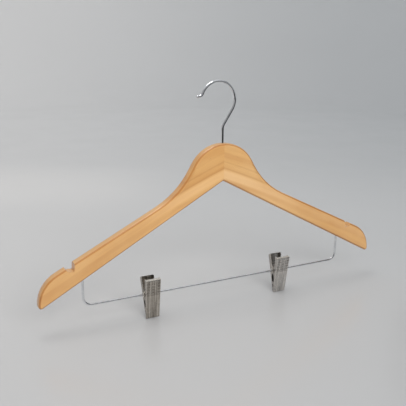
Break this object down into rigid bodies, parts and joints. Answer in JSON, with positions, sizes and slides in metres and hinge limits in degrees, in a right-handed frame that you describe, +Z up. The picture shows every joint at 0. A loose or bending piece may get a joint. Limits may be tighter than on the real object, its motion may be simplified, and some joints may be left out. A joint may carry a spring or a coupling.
{
  "type": "clothes hanger",
  "caption": "Contoured flat wooden suit hanger with strap notches, a swivelling wire hook and a wire trouser bar that carries sliding spring clips.",
  "frame": {"origin": "on the hook's swivel axis, where the inside of the hook bears on the rail, in the middle of the wood's thickness", "axes": "+X to the hanger's right along its span, -Y out of its front face, +Z up along the swivel axis"},
  "size_m": [0.45, 0.0243, 0.2744],
  "materials": {
    "lacquered_wood": "light natural wood under a clear satin lacquer",
    "chrome_wire": "bright chrome-plated steel wire",
    "zinc_steel": "zinc-plated steel",
    "nickel_sheet": "brushed nickel-plated pressed steel",
    "spring_steel": "bright spring steel wire",
    "grip_pvc": "matt black soft PVC"
  },
  "bodies": {
    "hook": {"hook": "chrome_wire", "hook_nut": "zinc_steel"},
    "hanger": {"left_arm": "lacquered_wood", "right_arm": "lacquered_wood", "hook_washer": "zinc_steel", "trouser_bar": "chrome_wire"},
    "left_clip_tube": {"left_clip_pivot_tube": "nickel_sheet"},
    "left_clip_front": {"left_clip_front_jaw": "nickel_sheet", "left_clip_front_pad": "grip_pvc", "left_clip_spring": "spring_steel"},
    "left_clip_back": {"left_clip_back_jaw": "nickel_sheet", "left_clip_back_pad": "grip_pvc"},
    "right_clip_tube": {"right_clip_pivot_tube": "nickel_sheet"},
    "right_clip_front": {"right_clip_front_jaw": "nickel_sheet", "right_clip_front_pad": "grip_pvc", "right_clip_spring": "spring_steel"},
    "right_clip_back": {"right_clip_back_jaw": "nickel_sheet", "right_clip_back_pad": "grip_pvc"}
  },
  "joints": [
    {"name": "hook_swivel", "type": "hinge", "parent": "hook", "child": "hanger", "pos_m": [0, 0, 0], "axis": [0, 0, 1], "continuous": true},
    {"name": "left_clip_slide", "type": "slide", "parent": "hanger", "child": "left_clip_tube", "axis": [1, 0, 0], "range_m": [-0.0614, 0.0801]},
    {"name": "left_clip_swing", "type": "hinge", "parent": "left_clip_tube", "child": "left_clip_front", "pos_m": [-0.0921, 0, -0.2409], "axis": [1, 0, 0], "continuous": true},
    {"name": "left_clip_squeeze", "type": "hinge", "parent": "left_clip_front", "child": "left_clip_back", "pos_m": [-0.0921, 0, -0.2409], "axis": [1, 0, 0], "range_deg": [0, 26], "stiffness_Nm_per_rad": 0.15, "springref_deg": -85.94, "deforming": ["left_clip_spring"]},
    {"name": "right_clip_slide", "type": "slide", "parent": "hanger", "child": "right_clip_tube", "axis": [1, 0, 0], "range_m": [-0.0734, 0.0681]},
    {"name": "right_clip_swing", "type": "hinge", "parent": "right_clip_tube", "child": "right_clip_front", "pos_m": [0.0854, 0, -0.2409], "axis": [1, 0, 0], "continuous": true},
    {"name": "right_clip_squeeze", "type": "hinge", "parent": "right_clip_front", "child": "right_clip_back", "pos_m": [0.0854, 0, -0.2409], "axis": [1, 0, 0], "range_deg": [0, 26], "stiffness_Nm_per_rad": 0.15, "springref_deg": -85.94, "deforming": ["right_clip_spring"]}
  ]
}
